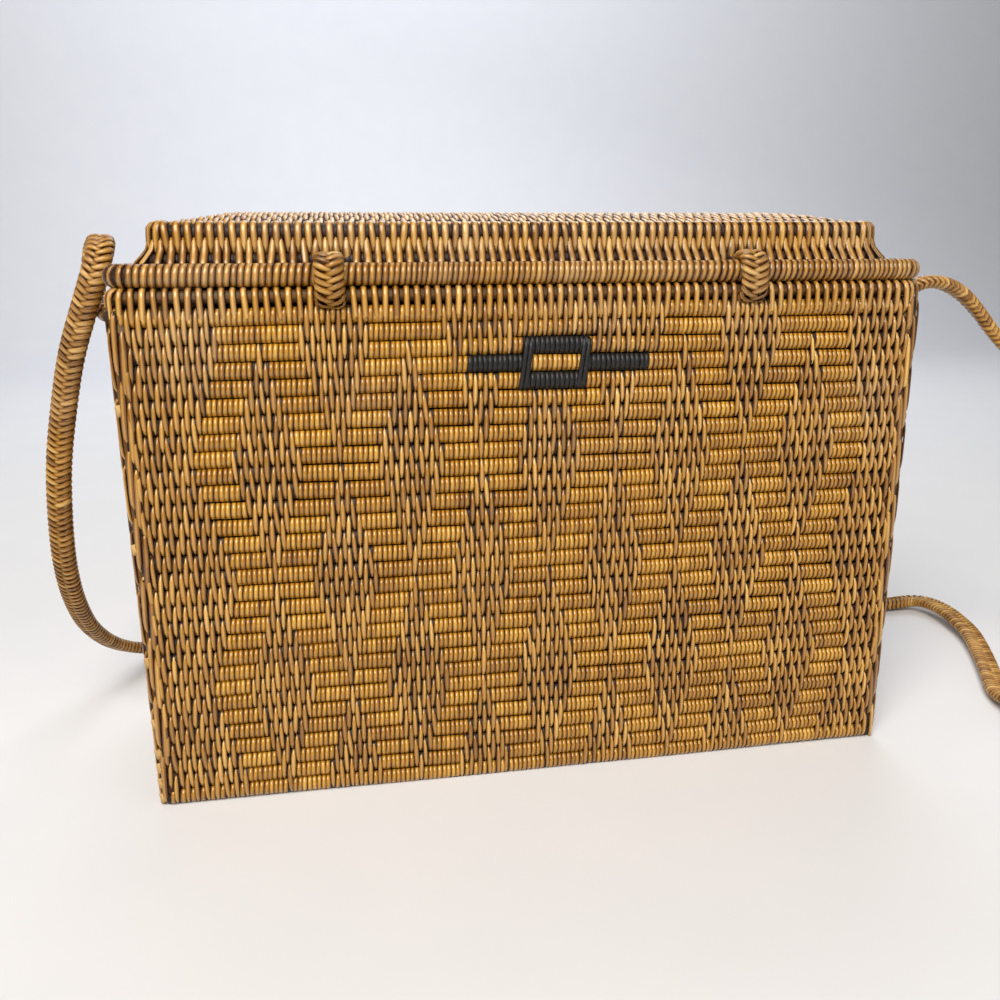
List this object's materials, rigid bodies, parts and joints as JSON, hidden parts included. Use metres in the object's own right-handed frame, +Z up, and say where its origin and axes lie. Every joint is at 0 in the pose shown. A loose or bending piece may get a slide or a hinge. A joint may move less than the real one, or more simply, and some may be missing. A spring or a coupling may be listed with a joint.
{
  "type": "basket box bag",
  "caption": "Rectangular bag woven of vine over rods, with a raised lid that turns in plaited loops, a black link ornament and a long plaited shoulder strap.",
  "frame": {"origin": "middle of the underside", "axes": "+X along the bag to the right, +Y from the shown hinge side to the back, +Z up"},
  "size_m": [0.37, 0.1526, 0.1745],
  "materials": {
    "woven_vine": "semi-gloss",
    "black_dyed_vine": "semi-gloss",
    "plaited_vine": "satin"
  },
  "bodies": {
    "basket": {"front_panel": "woven_vine", "back_panel": "woven_vine", "left_end_panel": "woven_vine", "right_end_panel": "woven_vine", "base_panel": "woven_vine", "corner_lacing_front_left": "woven_vine", "corner_lacing_front_right": "woven_vine", "corner_lacing_back_left": "woven_vine", "corner_lacing_back_right": "woven_vine", "body_rim_rod": "woven_vine", "black_link": "black_dyed_vine", "black_bar_left": "black_dyed_vine", "black_bar_right": "black_dyed_vine", "hinge_loop_left": "plaited_vine", "hinge_loop_right": "plaited_vine", "strap_knot_left": "plaited_vine", "strap_knot_right": "plaited_vine", "shoulder_strap": "plaited_vine"},
    "lid": {"lid_rim_roll": "woven_vine", "lid_skirt": "woven_vine", "lid_top_panel": "woven_vine"}
  },
  "joints": [
    {"name": "lid_hinge", "type": "hinge", "parent": "basket", "child": "lid", "pos_m": [0, -0.03675, 0.15825], "axis": [1, 0, 0], "range_deg": [0, 180]}
  ]
}
